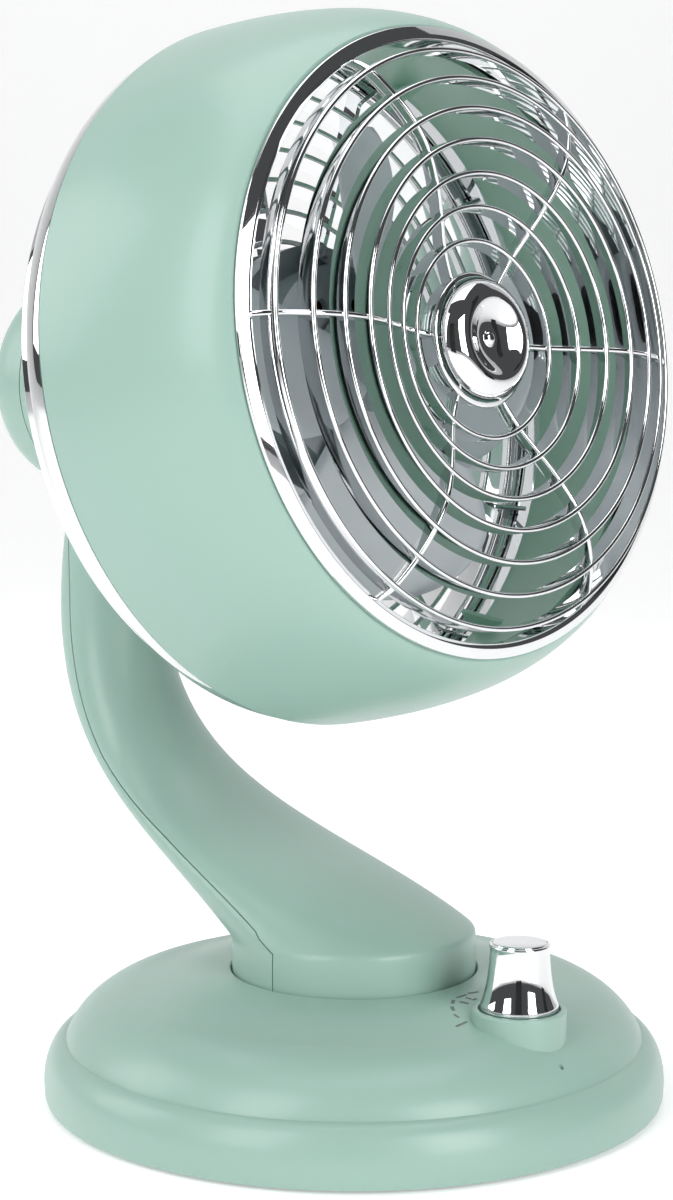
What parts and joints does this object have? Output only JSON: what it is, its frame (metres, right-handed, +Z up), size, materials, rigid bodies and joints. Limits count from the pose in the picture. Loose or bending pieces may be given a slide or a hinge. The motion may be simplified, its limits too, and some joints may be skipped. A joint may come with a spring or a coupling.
{
  "type": "desk fan",
  "caption": "Desk fan with a round tilting head behind a domed ring grille, on a swept neck that rises from a weighted dome base with a turn knob.",
  "frame": {"origin": "centre of the underside of the central foot pad, on the table and on the base's axis", "axes": "+Z up; the grille faces -Y at rest, leaning up 10 degrees; +X to the right seen from behind the fan"},
  "size_m": [0.228, 0.2538, 0.3501],
  "materials": {
    "mint_plastic": "satin mint green, moulded and painted",
    "duct_plastic": "matt green moulding in the shade of the head",
    "chrome": "bright chrome plating on moulded plastic",
    "blade_plastic": "smooth semi-gloss grey",
    "dark_plastic": "fine grain",
    "lamp": "clear dark lens",
    "rubber": "matt",
    "steel": "zinc plated",
    "cast_iron": "as cast",
    "aluminium": "pressed and cast, plain",
    "copper": "enamelled wire and sintered bronze",
    "fibre": "plain"
  },
  "bodies": {
    "base": {"base_shell": "mint_plastic", "base_plate": "dark_plastic", "base_weight": "cast_iron", "rubber_feet": "rubber", "plate_screws": "steel", "cord_grommet": "rubber", "speed_switch": "dark_plastic", "switch_nut": "steel", "indicator_lamp": "lamp", "neck_shell": "mint_plastic", "neck_cover": "mint_plastic", "neck_anchor": "steel", "anchor_screws": "steel", "neck_spine": "steel", "tilt_bracket": "steel", "bracket_screws": "steel", "tilt_bolt": "steel", "tilt_nut": "steel", "spring_washer": "steel", "friction_washers": "fibre", "terminal_block": "fibre", "lead_clamp": "fibre"},
    "knob": {"control_knob": "chrome", "knob_insert": "dark_plastic", "switch_spindle": "steel"},
    "head": {"tilt_tongue": "steel", "tongue_screws": "steel", "knuckle_cover": "mint_plastic", "head_shell": "mint_plastic", "air_duct": "duct_plastic", "front_grille": "chrome", "hub_cap": "chrome", "rear_grille": "chrome", "mount_screws": "steel", "rear_bell": "aluminium", "front_bell": "aluminium", "stator_core": "steel", "stator_windings": "copper", "motor_bolts": "steel", "motor_nuts": "steel", "rear_bearing": "copper", "front_bearing": "copper"},
    "rotor": {"motor_shaft": "steel", "rotor_core": "steel", "rotor_rings": "aluminium", "shaft_collar": "steel", "propeller": "blade_plastic", "blade_nut": "dark_plastic"}
  },
  "joints": [
    {"name": "head_tilt", "type": "hinge", "parent": "base", "child": "head", "pos_m": [0, 0.05245, 0.22919], "axis": [-1, 0, 0], "range_deg": [-25, 10]},
    {"name": "blade_spin", "type": "hinge", "parent": "head", "child": "rotor", "pos_m": [0, -0.048, 0.2469], "axis": [0, -0.9848, 0.1736], "continuous": true},
    {"name": "knob_turn", "type": "hinge", "parent": "base", "child": "knob", "pos_m": [0, -0.071, 0.05], "axis": [0, 0, -1], "range_deg": [0, 135]}
  ]
}
